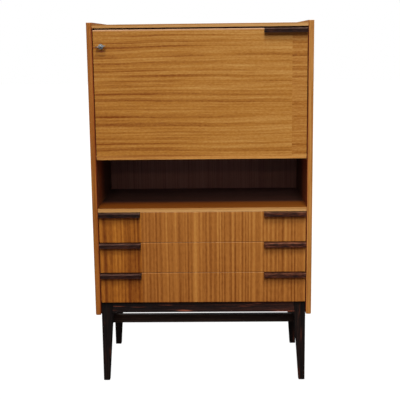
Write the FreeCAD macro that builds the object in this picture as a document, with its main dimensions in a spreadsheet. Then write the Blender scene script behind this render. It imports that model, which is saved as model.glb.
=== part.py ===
import FreeCAD, Part
import math
import operator
import os
from types import SimpleNamespace

import Sketcher

# Driving dimensions: lengths in millimetres, angles in degrees
SIZES = {
    # carcass
    "case_width": 720,
    "case_depth": 395,
    "case_height": 1198,
    "side_thick": 18,
    # how far the sides reach below the top of the stand
    "side_bottom": 42.5,
    "side_edge_round": 2,
    "side_foot_round": 4,
    "board_thick": 18,
    "top_drop": 7,
    "top_lip": 11,
    "desk_height": 777.5,
    "shelf_height": 599,
    "shelf_lip": 12.5,
    "back_thick": 6,
    "back_rebate": 10,
    "back_housing": 7,
    # pigeonholes
    "pigeon_board": 12,
    "pigeon_setback": 110,
    "divider_thick": 10,
    "divider_setback": 12,
    "divider_offset": 114,
    # stand
    "stand_height": 278.5,
    "stand_setback": 12,
    "leg_top": 40,
    "leg_foot": 20.8,
    "leg_round": 2,
    "foot_ease": 1.2,
    "rail_height": 37.5,
    "rail_thick": 20,
    "side_rail_lift": 145,
    "side_rail_height": 45,
    "side_rail_thick": 14,
    "side_rail_setback": 2,
    "stretcher_height": 29,
    "stretcher_thick": 18,
    "leg_bolt_radius": 3,
    "leg_bolt_grip": 22,
    "leg_bolt_depth": 12,
    "leg_bolt_pitch": 18,
    "leg_bolt_inset": 18,
    "leg_bolt_head": 6,
    "leg_bolt_head_height": 5,
    # how far the sunk hole clears the bolt's head all round
    "leg_bolt_sink": 1,
    # fall flap
    "flap_thick": 18,
    "flap_gap": 5,
    "flap_side_gap": 2,
    "flap_clear": 0.5,
    "flap_opening": 90,
    "cove_clear": 0.4,
    "front_round": 1.5,
    "corner_round": 2,
    # flap pivots
    "pivot_radius": 3,
    "pivot_fit": 0.05,
    "pivot_reach": 13,
    "pivot_seat": 12,
    "pivot_flange": 6,
    "pivot_float": 0.4,
    "pivot_end_gap": 1,
    "bush_wall": 2,
    "bush_length": 14,
    # flap stays
    "stay_reach": 120,
    "stay_lean": 10,
    "stay_pin_lean": 25,
    "stay_width": 13,
    "stay_thick": 2,
    "stay_gap": 8.4,
    "stay_clear": 0.4,
    "stay_end": 8,
    "stay_rise": 60,
    "stay_pin_radius": 2.5,
    "stay_pin_seat": 12,
    "stay_pin_fit": 0.08,
    "stay_collar": 4.5,
    "stay_head": 2,
    "bracket_length": 22,
    "bracket_height": 20,
    "bracket_thick": 2,
    "bracket_round": 7,
    # lock
    "lock_inset": 25,
    "lock_drop": 52,
    "rosette_radius": 8.2,
    "rosette_thick": 1.5,
    "barrel_radius": 6,
    "key_radius": 2.5,
    "key_fit": 0.06,
    "key_neck": 7,
    "key_end_gap": 0.5,
    "key_tilt": 7,
    "bow_width": 33,
    "bow_depth": 12.5,
    "bow_thick": 2.6,
    "bow_rim": 3,
    "bow_lap": 1,
    "lock_case_edge": 2,
    "lock_case_length": 46,
    "lock_case_height": 32,
    "lock_case_thick": 12,
    "bolt_length": 30,
    "bolt_height": 12,
    "bolt_thick": 6,
    "bolt_clear": 0.3,
    "bolt_throw": 8,
    "strike_thick": 1.2,
    "strike_width": 15,
    "strike_height": 36,
    "strike_clear": 0.5,
    # drawers
    "front_thick": 18,
    "front_clear": 0.5,
    "drawer_side_gap": 2,
    "drawer_gap": 1.2,
    "box_depth": 340,
    "box_clear": 4,
    "drawer_side_thick": 10,
    "drawer_back_thick": 10,
    "drawer_back_drop": 3,
    "drawer_bottom_thick": 4,
    "drawer_groove": 5,
    "drawer_groove_lift": 8,
    "runner_space": 4,
    "runner_height": 14,
    "runner_groove": 6,
    "slide_clear": 0.4,
    # lip handles
    "handle_length": 137,
    "handle_height": 14,
    "handle_reach": 19,
    "handle_inlet": 6,
    "handle_brow": 6,
    "handle_fall": 3,
    "handle_crown": 0.7,
    "handle_lip": 5,
    "handle_hollow": 3.5,
    "handle_round": 3,
    # cuts run this far past the faces they open
    "overrun": 5,
}

DRAWERS = 3
FULL_TURN = 360
SAME_PLACE = 1e-4
round_end_share = 0.46
OPERATIONS = {"+": operator.add, "-": operator.sub, "*": operator.mul, "/": operator.truediv}

doc = FreeCAD.newDocument("escritoire")
sheet = doc.addObject("Spreadsheet::Sheet", "Sizes")
for row, (alias, value) in enumerate(SIZES.items(), start=1):
    sheet.set(f"A{row}", alias)
    sheet.set(f"B{row}", str(value))
    sheet.setAlias(f"B{row}", alias)
doc.recompute()


class Size:
    """A length or angle that carries its number and the sheet formula it comes from."""

    def __init__(self, number, formula):
        self.number = number
        self.formula = formula

    def __add__(self, other):
        return combine(self, "+", other)

    def __radd__(self, other):
        return combine(other, "+", self)

    def __sub__(self, other):
        return combine(self, "-", other)

    def __rsub__(self, other):
        return combine(other, "-", self)

    def __mul__(self, other):
        return combine(self, "*", other)

    def __rmul__(self, other):
        return combine(other, "*", self)

    def __truediv__(self, other):
        return combine(self, "/", other)

    def __neg__(self):
        return combine(0, "-", self)


def as_size(value):
    return value if isinstance(value, Size) else Size(value, str(value))


def combine(first, sign, second):
    first = as_size(first)
    second = as_size(second)
    number = OPERATIONS[sign](first.number, second.number)
    return Size(number, f"({first.formula} {sign} {second.formula})")


def sine(angle):
    return Size(math.sin(math.radians(angle.number)), f"sin({angle.formula})")


def cosine(angle):
    return Size(math.cos(math.radians(angle.number)), f"cos({angle.formula})")


def root(square):
    return Size(math.sqrt(square.number), f"sqrt({square.formula})")


def largest(first, second):
    return Size(max(first.number, second.number), f"max({first.formula}; {second.formula})")


def bow_radius(run, fall, rise):
    """Radius of the arc over a chord of the given run and fall that stands rise above it."""
    return (run * run + fall * fall) / (8 * rise) + rise / 2


size = SimpleNamespace(**{alias: Size(value, f"Sizes.{alias}") for alias, value in SIZES.items()})
NODES = []


# Helpers: placing, sketching and cutting

def place(thing, x=0, y=0, z=0):
    for axis, value in zip("xyz", (x, y, z)):
        thing.setExpression(f"Placement.Base.{axis}", as_size(value).formula)


def keep(thing):
    """Count an object as one node of the part."""
    NODES.append(thing)
    return thing


def box(label, x, y, z):
    """A plain board between pairs of low and high faces."""
    board = doc.addObject("Part::Box", label)
    board.Label = label
    for edge, (low, high) in zip(("Length", "Width", "Height"), (x, y, z)):
        board.setExpression(edge, (high - low).formula)
    place(board, x[0], y[0], z[0])
    return board


def mirrored(label, source):
    """The left-hand twin of a right-hand piece."""
    twin = doc.addObject("Part::Mirroring", label)
    twin.Label = label
    twin.Source = source
    twin.Normal = FreeCAD.Vector(1, 0, 0)
    return twin


def group(label, members):
    bunch = doc.addObject("Part::Compound", label)
    bunch.Label = label
    bunch.Links = members
    return bunch


def cut(label, base, tool):
    piece = doc.addObject("Part::Cut", label)
    piece.Label = label
    piece.Base = base
    piece.Tool = tool
    return piece


def new_body(label, x=0, y=0, z=0):
    body = doc.addObject("PartDesign::Body", label)
    body.Label = label
    place(body, x, y, z)
    return body


def new_sketch(body, role, lift=0):
    """A sketch on a plane through the body's origin, or lifted off it along the plane's normal."""
    sketch = body.newObject("Sketcher::SketchObject", "Sketch")
    plane = next(item for item in body.Origin.OriginFeatures if item.Role == role)
    sketch.AttachmentSupport = [(plane, "")]
    sketch.MapMode = "FlatFace"
    sketch.setExpression("AttachmentOffset.Base.z", as_size(lift).formula)
    return sketch


def fix(sketch, constraint, value):
    index = sketch.addConstraint(constraint)
    sketch.setExpression(f"Constraints[{index}]", as_size(value).formula)


def fix_point(sketch, edge, end, point):
    """Hold the end of an edge at a point measured from the sketch's origin."""
    for kind, value in zip(("DistanceX", "DistanceY"), point):
        fix(sketch, Sketcher.Constraint(kind, -1, 1, edge, end, float(as_size(value).number)), value)


def flat(point):
    return FreeCAD.Vector(*[float(as_size(value).number) for value in point[:2]], 0)


def arc_between(start, finish, radius, left):
    """The shorter arc from start to finish, about a centre on its left or right."""
    chord = finish - start
    side = FreeCAD.Vector(-chord.y, chord.x, 0).normalize()
    height = math.sqrt(radius ** 2 - (chord.Length / 2) ** 2)
    centre = (start + finish) / 2 + side * (height if left else -height)
    first, last = (start, finish) if left else (finish, start)
    angles = [math.atan2(point.y - centre.y, point.x - centre.x) for point in (first, last)]
    return Part.ArcOfCircle(Part.Circle(centre, FreeCAD.Vector(0, 0, 1), radius), *angles)


def draw_outline(sketch, corners):
    """A closed outline. A corner (u, v, radius, left) is reached by an arc, the others by lines."""
    ends = []
    for index, corner in enumerate(corners):
        start = flat(corners[index - 1])
        finish = flat(corner)
        if len(corner) == 2:
            edge = sketch.addGeometry(Part.LineSegment(start, finish), False)
            ends.append((edge, 1, 2))
            continue
        radius, left = corner[2:]
        edge = sketch.addGeometry(arc_between(start, finish, radius.number, left), False)
        ends.append((edge, 1, 2) if left else (edge, 2, 1))
        fix(sketch, Sketcher.Constraint("Radius", edge, radius.number), radius)
    for index, (edge, first, last) in enumerate(ends):
        before, _, reached = ends[index - 1]
        sketch.addConstraint(Sketcher.Constraint("Coincident", before, reached, edge, first))
        fix_point(sketch, edge, last, corners[index][:2])


def rectangle(u, v):
    return [(u[0], v[0]), (u[1], v[0]), (u[1], v[1]), (u[0], v[1])]


def rounded(u, v, radius):
    """A rectangle with its four corners rounded."""
    return [
        (u[0] + radius, v[0], radius, True), (u[1] - radius, v[0]),
        (u[1], v[0] + radius, radius, True), (u[1], v[1] - radius),
        (u[1] - radius, v[1], radius, True), (u[0] + radius, v[1]),
        (u[0], v[1] - radius, radius, True), (u[0], v[0] + radius),
    ]


def round_ended(u, v):
    """A strip along u with rounded ends."""
    width = v[1] - v[0]
    rise = width * round_end_share
    radius = bow_radius(width, 0, rise)
    return [
        (u[0] + rise, v[0], radius, True), (u[1] - rise, v[0]),
        (u[1] - rise, v[1], radius, True), (u[0] + rise, v[1]),
    ]


def draw_circles(sketch, centres, radius):
    for centre in centres:
        circle = Part.Circle(flat(centre), FreeCAD.Vector(0, 0, 1), radius.number)
        edge = sketch.addGeometry(circle, False)
        fix_point(sketch, edge, 3, centre)
        fix(sketch, Sketcher.Constraint("Radius", edge, radius.number), radius)


def extrude(body, sketch, length, reverse=False):
    pad = body.newObject("PartDesign::Pad", "Pad")
    pad.Profile = sketch
    pad.Reversed = reverse
    pad.setExpression("Length", length.formula)
    doc.recompute()


def carve(body, sketch, depth, reverse=False):
    """Cut a sketch into a body, and stop if nothing came away."""
    before = body.Shape.Volume
    pocket = body.newObject("PartDesign::Pocket", "Pocket")
    pocket.Profile = sketch
    pocket.Reversed = reverse
    pocket.setExpression("Length", depth.formula)
    doc.recompute()
    if body.Shape.Volume >= before:
        raise RuntimeError(f"{body.Label}: {pocket.Name} cuts nothing")


def pad_outline(body, role, outline, length, lift=0, reverse=False):
    sketch = new_sketch(body, role, lift)
    draw_outline(sketch, outline)
    extrude(body, sketch, length, reverse)


def pad_circle(body, role, radius, length, lift=0, reverse=False):
    sketch = new_sketch(body, role, lift)
    draw_circles(sketch, [(0, 0)], radius)
    extrude(body, sketch, length, reverse)


def drill(body, role, centres, radius, depth, lift=0, reverse=False):
    sketch = new_sketch(body, role, lift)
    draw_circles(sketch, centres, radius)
    carve(body, sketch, depth, reverse)


def notch(body, role, outline, depth, lift=0, reverse=False):
    sketch = new_sketch(body, role, lift)
    draw_outline(sketch, outline)
    carve(body, sketch, depth, reverse)


def lies(edge, **place_of_edge):
    """True if every vertex of an edge has the given coordinates."""
    return all(
        abs(getattr(vertex.Point, axis) - as_size(value).number) < SAME_PLACE
        for vertex in edge.Vertexes for axis, value in place_of_edge.items()
    )


def soften(body, radius, test, kind="Fillet", property_name="Radius"):
    """Round, or bevel, the edges of a body that pass the test."""
    base = body.Tip
    names = [f"Edge{number}" for number, edge in enumerate(base.Shape.Edges, start=1) if test(edge)]
    feature = body.newObject(f"PartDesign::{kind}", kind)
    feature.Base = (base, names)
    feature.setExpression(property_name, radius.formula)
    doc.recompute()


def turned(label, profile, x, y, z, about="H_Axis"):
    """A piece turned about the X axis (H_Axis) or the Y axis (V_Axis) through its place."""
    body = new_body(label, x, y, z)
    sketch = new_sketch(body, "XY_Plane")
    draw_outline(sketch, profile)
    turn = body.newObject("PartDesign::Revolution", "Revolution")
    turn.Profile = sketch
    turn.ReferenceAxis = (sketch, [about])
    turn.Angle = FULL_TURN
    doc.recompute()
    return body


# Places shared by the pieces

half_width = size.case_width / 2
inner = half_width - size.side_thick
key_reach = size.rosette_thick + size.key_neck + size.bow_depth
front = (largest(key_reach, size.handle_reach) - size.case_depth) / 2
rear = front + size.case_depth
back_face = rear - size.back_rebate
top_face = size.case_height - size.top_drop
shelf_lip_under = size.shelf_height - size.shelf_lip
across = (-inner, inner)

half_flap = size.flap_thick / 2
axis_y = front + half_flap
axis_z = size.desk_height - half_flap
flap_half = inner - size.flap_side_gap
flap_low = size.desk_height - size.flap_thick
flap_high = top_face - size.top_lip - size.flap_gap
flap_inside = front + size.flap_thick

stay_y = axis_y + size.stay_reach * sine(size.stay_lean)
stay_z = axis_z + size.stay_reach * cosine(size.stay_lean)
stay_pin_y = axis_y + size.stay_reach * sine(size.stay_pin_lean)
stay_pin_z = axis_z + size.stay_reach * cosine(size.stay_pin_lean)
stay_outside = inner - size.stay_gap
stay_inside = stay_outside - size.stay_thick

lock_x = size.lock_inset - flap_half
lock_z = flap_high - size.lock_drop
lock_case_left = size.lock_case_edge - flap_half
bolt_y = flap_inside + size.lock_case_thick / 2

drawer_pitch = (shelf_lip_under - size.stand_height) / DRAWERS
drawer_half = inner - size.drawer_side_gap
fronts_inside = front + size.front_thick
hidden_edge = fronts_inside + size.front_clear

leg_front = front + size.stand_setback
side_low = size.stand_height - size.side_bottom
leg_bolt_heights = [
    (side_low + size.stand_height + sign * size.leg_bolt_pitch) / 2 for sign in (-1, 1)
]
front_bolt_places = [(leg_front + size.leg_bolt_inset, z) for z in leg_bolt_heights]
rear_bolt_places = [(rear - size.leg_bolt_inset, z) for z in leg_bolt_heights]


def leg_width(height):
    """Width of the tapered leg at a height above the floor."""
    return size.leg_foot + (size.leg_top - size.leg_foot) * height / size.stand_height


def centred(middle, width):
    return middle - width / 2, middle + width / 2


# Carcass

def side_panels():
    panel = keep(new_body("right_side_panel", x=inner))
    outline = rectangle((front, rear), (side_low, size.case_height))
    pad_outline(panel, "YZ_Plane", outline, size.side_thick)
    soften(panel, size.side_foot_round, lambda edge: lies(edge, z=side_low, x=0)
           or lies(edge, z=side_low, x=size.side_thick))
    soften(panel, size.side_edge_round, lambda edge: lies(edge, y=front))
    rebate = rectangle((back_face, rear + size.overrun), (size.stand_height, top_face))
    notch(panel, "YZ_Plane", rebate, size.back_housing, reverse=True)
    drill(panel, "YZ_Plane", [(axis_y, axis_z)], size.pivot_radius, size.pivot_seat, reverse=True)
    drill(panel, "YZ_Plane", [(stay_pin_y, stay_pin_z)], size.stay_pin_radius, size.stay_pin_seat,
          reverse=True)
    drill(panel, "YZ_Plane", front_bolt_places + rear_bolt_places, size.leg_bolt_radius,
          size.leg_bolt_depth, reverse=True)
    plate_face = -inner - size.strike_thick
    seat = box("strike_seat", (plate_face, -inner), *strike_seat())
    pocket = box("bolt_pocket", (plate_face - size.bolt_throw, -inner), *bolt_way())
    cutters = group("strike_cutters", [seat, pocket])
    keep(cut("left_side_panel", mirrored("left_side_blank", panel), cutters))
    plate = box("strike_blank", (plate_face, -inner), *strike_seat())
    hole = box("strike_hole", (plate_face - size.overrun, -inner + size.overrun), *bolt_way())
    keep(cut("strike_plate", plate, hole))


def strike_seat():
    """The strike plate's extent along Y and Z."""
    return centred(bolt_y, size.strike_width), centred(lock_z, size.strike_height)


def bolt_way():
    """Section, across Y and Z, of the way that the bolt takes into the side panel."""
    spare = 2 * size.strike_clear
    return centred(bolt_y, size.bolt_thick + spare), centred(lock_z, size.bolt_height + spare)


def long_board(label, outline):
    """A board between the side panels, drawn in its end section."""
    board = keep(new_body(label, x=-inner))
    pad_outline(board, "YZ_Plane", outline, 2 * inner)
    return board


def rebated_section(high, lip, shoulder):
    """End section of a board whose lower front edge is cut back to a shoulder behind its lip."""
    low = high - size.board_thick
    return [
        (front, high - lip), (shoulder, high - lip), (shoulder, low),
        (back_face, low), (back_face, high), (front, high),
    ]


def coved_section():
    """End section of the desk floor, hollowed in front about the pivot for the flap's square heel."""
    cove = root(2 * half_flap * half_flap) + size.cove_clear
    brink = axis_y + root(cove * cove - half_flap * half_flap)
    return [
        (brink, flap_low, cove, False), (back_face, flap_low),
        (back_face, size.desk_height), (brink, size.desk_height),
    ]


def carcass_boards():
    long_board("top_panel", rebated_section(top_face, size.top_lip, flap_inside + size.flap_clear))
    long_board("niche_shelf", rebated_section(size.shelf_height, size.shelf_lip, hidden_edge))
    long_board("desk_floor", coved_section())
    floor = (size.stand_height, size.stand_height + size.board_thick)
    keep(box("bottom_panel", across, (hidden_edge, back_face), floor))
    reach = inner + size.back_housing
    keep(box("back_panel", (-reach, reach), (back_face, back_face + size.back_thick),
             (size.stand_height, top_face)))


def pigeonholes():
    low = stay_pin_z + size.stay_rise
    high = low + size.pigeon_board
    edge = front + size.pigeon_setback
    keep(box("pigeonhole_shelf", across, (edge, back_face), (low, high)))
    divider = box("right_pigeonhole_divider", centred(size.divider_offset, size.divider_thick),
                  (edge + size.divider_setback, back_face), (high, top_face - size.board_thick))
    keep(divider)
    keep(mirrored("left_pigeonhole_divider", divider))


# Stand

def leg(label, span, bolt_places):
    """A leg that tapers on its two inner faces, with bolt holes sunk from the inside."""
    post = keep(new_body(label, x=inner))
    sections = []
    for height, width, ease in (
        (as_size(0), size.leg_foot, size.foot_ease),
        (size.foot_ease, size.leg_foot, as_size(0)),
        (size.stand_height, size.leg_top, as_size(0)),
    ):
        low, high = span(width)
        section = new_sketch(post, "XY_Plane", lift=height)
        draw_outline(section, rounded((ease - width, -ease), (low + ease, high - ease), size.leg_round))
        sections.append(section)
    loft = post.newObject("PartDesign::AdditiveLoft", "Loft")
    loft.Profile = sections[0]
    loft.Sections = sections[1:]
    loft.Ruled = True
    doc.recompute()
    sink = size.leg_bolt_head + size.leg_bolt_sink
    drill(post, "YZ_Plane", bolt_places, size.leg_bolt_radius, size.leg_bolt_grip)
    drill(post, "YZ_Plane", bolt_places, sink, size.leg_top, lift=-size.leg_bolt_grip)
    return post


def leg_bolt(number, y, z):
    shank = size.leg_bolt_radius
    head = size.leg_bolt_head
    under = -size.leg_bolt_grip
    end = under - size.leg_bolt_head_height
    profile = [
        (end, 0), (size.leg_bolt_depth, 0), (size.leg_bolt_depth, shank),
        (under, shank), (under, head), (end, head),
    ]
    return turned(f"right_leg_bolt_{number}", profile, inner, y, z)


def stand():
    front_leg = leg("front_right_leg", lambda width: (leg_front, leg_front + width), front_bolt_places)
    rear_leg = leg("rear_right_leg", lambda width: (rear - width, rear), rear_bolt_places)
    keep(mirrored("front_left_leg", front_leg))
    keep(mirrored("rear_left_leg", rear_leg))
    bolts = [leg_bolt(number, *spot)
             for number, spot in enumerate(front_bolt_places + rear_bolt_places, start=1)]
    twins = [mirrored(bolt.Label.replace("right", "left"), bolt) for bolt in bolts]
    keep(group("leg_bolts", bolts + twins))

    front_rail()
    side_rails_and_stretcher()


def front_rail():
    """A bar between the front legs, its ends cut to their taper."""
    high = size.stand_height
    low = high - size.rail_height
    bar = keep(new_body("front_rail", y=leg_front))
    below = inner - leg_width(low)
    above = inner - leg_width(high)
    outline = [(-below, low), (below, low), (above, high), (-above, high)]
    pad_outline(bar, "XZ_Plane", outline, size.rail_thick, reverse=True)


def side_rails_and_stretcher():
    """Low rails from the front to the rear legs, and a bar across between the rails' middles."""
    low = size.side_rail_lift
    high = low + size.side_rail_height
    outline = [
        (leg_front + leg_width(low), low), (rear - leg_width(low), low),
        (rear - leg_width(high), high), (leg_front + leg_width(high), high),
    ]
    inside = inner - size.side_rail_setback - size.side_rail_thick
    rail = keep(new_body("right_side_rail", x=inside))
    pad_outline(rail, "YZ_Plane", outline, size.side_rail_thick)
    keep(mirrored("left_side_rail", rail))
    keep(box("cross_stretcher", (-inside, inside), centred((leg_front + rear) / 2, size.stretcher_thick),
             (low, low + size.stretcher_height)))


# Boards that close the front, and their handles

def front_board(label, half, low, high, thick):
    """A board with eased corners and a rounded front face, flush with the front of the case."""
    board = keep(new_body(label, y=front))
    pad_outline(board, "XZ_Plane", rectangle((-half, half), (low, high)), thick, reverse=True)
    soften(board, size.corner_round, lambda edge: any(
        lies(edge, x=x, z=z) for x in (-half, half) for z in (low, high)))
    soften(board, size.front_round, lambda edge: lies(edge, y=0))
    return board


def handle_seat(board, u, high):
    """The rebate in a board's top edge that takes a handle's tongue."""
    outline = rectangle(u, (high - size.handle_height, high + size.overrun))
    notch(board, "XZ_Plane", outline, size.handle_inlet)


def lip_handle(label, end, high):
    """A handle that ends at x = end on the right, its top flush with the board's top edge."""
    handle = keep(new_body(label, x=end - size.handle_length))
    nose = front - size.handle_reach
    brow = front - size.handle_brow
    heel = nose + size.handle_lip
    low = high - size.handle_height
    tongue = front + size.handle_inlet
    crown = bow_radius(brow - nose, size.handle_fall, size.handle_crown)
    hollow = bow_radius(front - heel, 0, size.handle_hollow)
    outline = [
        (tongue, low), (tongue, high), (brow, high), (nose, high - size.handle_fall, crown, True),
        (nose, low), (heel, low), (front, low, hollow, False),
    ]
    pad_outline(handle, "YZ_Plane", outline, size.handle_length)
    soften(handle, size.handle_round, lambda edge: lies(edge, x=0, y=nose)
           or lies(edge, x=size.handle_length, y=nose))
    return handle


# Fall flap and its pivots

def flap():
    panel = front_board("flap_panel", flap_half, flap_low, flap_high, size.flap_thick)
    handle_seat(panel, (flap_half - size.handle_length, flap_half + size.overrun), flap_high)
    drill(panel, "XZ_Plane", [(lock_x, lock_z)], size.barrel_radius, size.flap_thick)
    bore = size.pivot_radius + size.pivot_fit + size.bush_wall
    pivot = [(half_flap, axis_z)]
    depth = largest(size.bush_length, size.pivot_reach + size.pivot_end_gap)
    drill(panel, "YZ_Plane", pivot, bore, depth, lift=flap_half)
    drill(panel, "YZ_Plane", pivot, bore, depth, lift=-flap_half, reverse=True)
    lip_handle("flap_handle", flap_half, flap_high)

    bush = turned("right_flap_bush", [
        (-size.bush_length, bore - size.bush_wall), (0, bore - size.bush_wall),
        (0, bore), (-size.bush_length, bore),
    ], flap_half, axis_y, axis_z)
    keep(group("flap_pivot_bushes", [bush, mirrored("left_flap_bush", bush)]))

    end = -size.flap_side_gap - size.pivot_reach
    collar = size.pivot_float - size.flap_side_gap
    pin = turned("right_flap_pin", [
        (end, 0), (size.pivot_seat, 0), (size.pivot_seat, size.pivot_radius), (0, size.pivot_radius),
        (0, size.pivot_flange), (collar, size.pivot_flange), (collar, size.pivot_radius),
        (end, size.pivot_radius),
    ], inner, axis_y, axis_z)
    keep(group("flap_pivot_pins", [pin, mirrored("left_flap_pin", pin)]))


# Slotted stays: the flap's pivot pin and the case's pin stand equally far from the flap's axis

def stays():
    spread = size.stay_pin_lean - size.stay_lean
    shut = 2 * size.stay_reach * sine(spread / 2)
    opened = 2 * size.stay_reach * sine((spread + size.flap_opening) / 2)
    hole = size.stay_pin_radius + size.stay_pin_fit
    spare = hole + size.stay_clear
    half_arm = size.stay_width / 2
    arm = keep(new_body("right_stay_arm", x=stay_inside, y=stay_y, z=stay_z))
    arm.Placement.Rotation = FreeCAD.Rotation(FreeCAD.Vector(1, 0, 0), 1)
    arm.setExpression("Placement.Rotation.Angle", (-(size.stay_lean + size.stay_pin_lean) / 2).formula)
    strip = round_ended((-half_arm, opened + spare + size.stay_end), (-half_arm, half_arm))
    pad_outline(arm, "YZ_Plane", strip, size.stay_thick)
    notch(arm, "YZ_Plane", round_ended((shut - spare, opened + spare), (-hole, hole)),
          size.stay_thick, reverse=True)
    drill(arm, "YZ_Plane", [(0, 0)], hole, size.stay_thick, reverse=True)
    keep(mirrored("left_stay_arm", arm))
    stay_brackets()

    collar = size.stay_clear - size.stay_gap
    neck = -size.stay_gap - size.stay_thick - size.stay_clear
    end = neck - size.stay_head
    pin = turned("right_stay_pin", [
        (end, 0), (size.stay_pin_seat, 0), (size.stay_pin_seat, size.stay_pin_radius),
        (0, size.stay_pin_radius), (0, size.stay_collar), (collar, size.stay_collar),
        (collar, size.stay_pin_radius), (neck, size.stay_pin_radius),
        (neck, size.stay_collar), (end, size.stay_collar),
    ], inner, stay_pin_y, stay_pin_z)
    keep(group("stay_pins", [pin, mirrored("left_stay_pin", pin)]))


def stay_brackets():
    """Angle brackets on the flap, each with a headed pivot that carries its stay arm."""
    ear = stay_outside + size.stay_clear
    bracket = keep(new_body("right_stay_bracket", x=ear, y=flap_inside, z=stay_z))
    height = stay_y - flap_inside
    thick = size.bracket_thick
    outline = [
        (thick - size.bracket_length, 0), (thick, 0), (thick, height + size.bracket_round),
        (0, height + size.bracket_round), (0, thick), (thick - size.bracket_length, thick),
    ]
    half = size.bracket_height / 2
    pad_outline(bracket, "XY_Plane", outline, size.bracket_height, lift=-half)
    soften(bracket, size.bracket_round, lambda edge: any(
        lies(edge, y=height + size.bracket_round, z=z) for z in (-half, half)))
    neck = size.stay_thick + 2 * size.stay_clear
    for radius, length, start in (
        (size.stay_pin_radius, neck, as_size(0)),
        (size.stay_collar, size.stay_head, neck),
    ):
        sketch = new_sketch(bracket, "YZ_Plane", lift=-start)
        draw_circles(sketch, [(height, 0)], radius)
        extrude(bracket, sketch, length, reverse=True)
    keep(mirrored("left_stay_bracket", bracket))


# Lock, key and bolt

def lock():
    back = size.flap_thick
    bore = size.key_radius + size.key_fit
    keep(turned("lock_escutcheon", [
        (bore, -size.rosette_thick), (size.rosette_radius, -size.rosette_thick),
        (size.rosette_radius, 0), (size.barrel_radius, 0), (size.barrel_radius, back), (bore, back),
    ], lock_x, front, lock_z, about="V_Axis"))

    case = keep(new_body("lock_case", x=lock_case_left, y=flap_inside, z=lock_z))
    half = size.lock_case_height / 2
    pad_outline(case, "XZ_Plane", rectangle((as_size(0), size.lock_case_length), (-half, half)),
                size.lock_case_thick, reverse=True)
    channel = rectangle(centred(size.lock_case_thick / 2, size.bolt_thick + 2 * size.bolt_clear),
                        centred(as_size(0), size.bolt_height + 2 * size.bolt_clear))
    notch(case, "YZ_Plane", channel, size.bolt_length + size.bolt_clear, reverse=True)
    keep(box("lock_bolt", (lock_case_left, lock_case_left + size.bolt_length),
             centred(bolt_y, size.bolt_thick), centred(lock_z, size.bolt_height)))

    key = keep(new_body("key", x=lock_x, y=front, z=lock_z))
    key.Placement.Rotation = FreeCAD.Rotation(FreeCAD.Vector(0, -1, 0), 1)
    key.setExpression("Placement.Rotation.Angle", size.key_tilt.formula)
    stem = size.rosette_thick + size.key_neck
    pad_circle(key, "XZ_Plane", size.key_radius, stem + size.flap_thick - size.key_end_gap,
               lift=stem, reverse=True)
    half_bow = size.bow_width / 2
    half_eye = half_bow - size.bow_rim
    tip = -stem - size.bow_depth
    heel = -stem + size.bow_lap
    ring = round_ended((-half_bow, half_bow), (tip, heel))
    eye = round_ended((-half_eye, half_eye), (tip + size.bow_rim, heel - size.bow_rim))
    pad_outline(key, "XY_Plane", ring, size.bow_thick, lift=-size.bow_thick / 2)
    notch(key, "XY_Plane", eye, size.bow_thick, lift=size.bow_thick / 2)


# Drawers, counted from the top

def drawer(number):
    slot_low = size.stand_height + (DRAWERS - number) * drawer_pitch
    low = slot_low + size.drawer_gap / 2
    high = slot_low + drawer_pitch - size.drawer_gap / 2
    box_low = slot_low + size.board_thick + size.box_clear
    box_high = slot_low + drawer_pitch - (size.board_thick - size.shelf_lip) - size.box_clear
    outside = inner - size.runner_space
    inside = outside - size.drawer_side_thick
    box_rear = fronts_inside + size.box_depth
    sheet_low = box_low + size.drawer_groove_lift
    sheet_high = sheet_low + size.drawer_bottom_thick
    sheet_half = inside + size.drawer_groove
    name = f"drawer_{number}"

    board = front_board(f"{name}_front", drawer_half, low, high, size.front_thick)
    inner_end = drawer_half - size.handle_length
    past_end = drawer_half + size.overrun
    handle_seat(board, (inner_end, past_end), high)
    handle_seat(board, (-past_end, -inner_end), high)
    notch(board, "XZ_Plane", rectangle((-sheet_half, sheet_half), (sheet_low, sheet_high)),
          size.drawer_groove, lift=-size.front_thick, reverse=True)
    handle = lip_handle(f"{name}_right_handle", drawer_half, high)
    keep(mirrored(f"{name}_left_handle", handle))

    runner_mid = (sheet_high + box_high) / 2
    groove_low, groove_high = centred(runner_mid, size.runner_height + 2 * size.slide_clear)
    groove_floor = outside - size.runner_groove
    side = keep(new_body(f"{name}_right_side", y=fronts_inside))
    pad_outline(side, "XZ_Plane", [
        (inside, box_low), (outside, box_low),
        (outside, groove_low), (groove_floor, groove_low),
        (groove_floor, groove_high), (outside, groove_high),
        (outside, box_high), (inside, box_high),
        (inside, sheet_high), (sheet_half, sheet_high),
        (sheet_half, sheet_low), (inside, sheet_low),
    ], size.box_depth, reverse=True)
    keep(mirrored(f"{name}_left_side", side))
    keep(box(f"{name}_back", (-inside, inside), (box_rear - size.drawer_back_thick, box_rear),
             (sheet_high, box_high - size.drawer_back_drop)))
    keep(box(f"{name}_bottom", (-sheet_half, sheet_half),
             (fronts_inside - size.drawer_groove, box_rear), (sheet_low, sheet_high)))
    return box(f"{name}_runner", (groove_floor + size.slide_clear, inner), (hidden_edge, back_face),
               centred(runner_mid, size.runner_height))


def drawers():
    runners = [drawer(number) for number in range(1, DRAWERS + 1)]
    twins = [mirrored(f"{runner.Label}_twin", runner) for runner in runners]
    keep(group("right_drawer_runners", runners))
    keep(group("left_drawer_runners", twins))


side_panels()
carcass_boards()
pigeonholes()
stand()
flap()
stays()
lock()
drawers()
doc.recompute()

failed = [thing.Label for thing in doc.Objects if {"Invalid", "Error"} & set(thing.State)]
failed += [node.Label for node in NODES if node.Shape.isNull() or not node.Shape.isValid()]
if failed:
    raise RuntimeError("not built: " + ", ".join(failed))

os.makedirs("parts", exist_ok=True)
for node in NODES:
    node.Shape.exportStep(f"parts/{node.Label}.step")
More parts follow.
